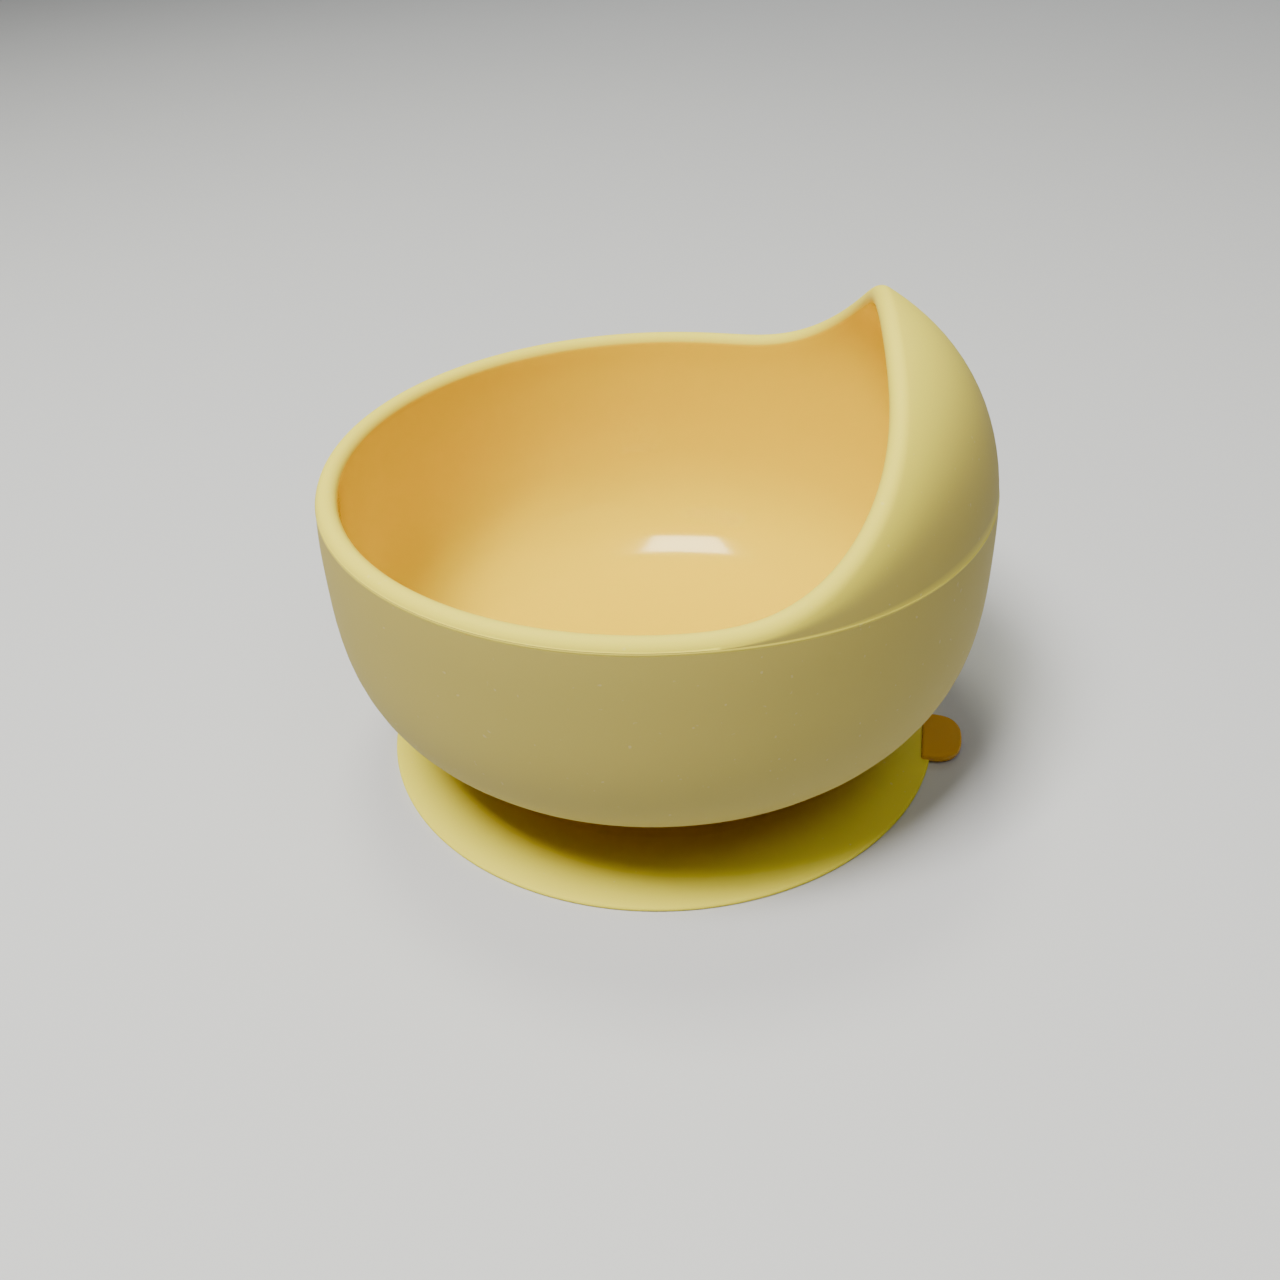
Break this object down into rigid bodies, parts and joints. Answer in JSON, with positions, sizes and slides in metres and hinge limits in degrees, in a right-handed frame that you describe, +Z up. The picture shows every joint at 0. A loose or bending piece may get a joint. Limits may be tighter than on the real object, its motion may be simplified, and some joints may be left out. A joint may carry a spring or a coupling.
{
  "type": "suction bowl",
  "caption": "Soft feeding bowl with a raised scoop hood on a shallow suction cup with a pull tab.",
  "frame": {"origin": "centre of the base, on the table", "axes": "+Z up, +X towards the scoop hood; the pull tab is 7 degrees round from it"},
  "size_m": [0.1208, 0.1208, 0.0858],
  "materials": {
    "bowl_silicone": "satin outside, glossy inside",
    "base_silicone": "satin"
  },
  "bodies": {
    "suction_base": {"cup_skirt": "base_silicone"},
    "bowl": {"bowl_shell": "bowl_silicone", "base_hub": "base_silicone"},
    "tab": {"pull_tab": "base_silicone"}
  },
  "joints": [
    {"name": "cup_press", "type": "slide", "parent": "suction_base", "child": "bowl", "axis": [0, 0, -1], "range_m": [0, 0.002], "stiffness_N_per_m": 6000, "springref_m": -0.0006, "deforming": ["cup_skirt"]},
    {"name": "tab_lift", "type": "hinge", "parent": "suction_base", "child": "tab", "pos_m": [0.05419, -0.00665, 0.0018], "axis": [-0.1219, -0.9925, 0], "range_deg": [0, 70], "stiffness_Nm_per_rad": 0.002}
  ]
}
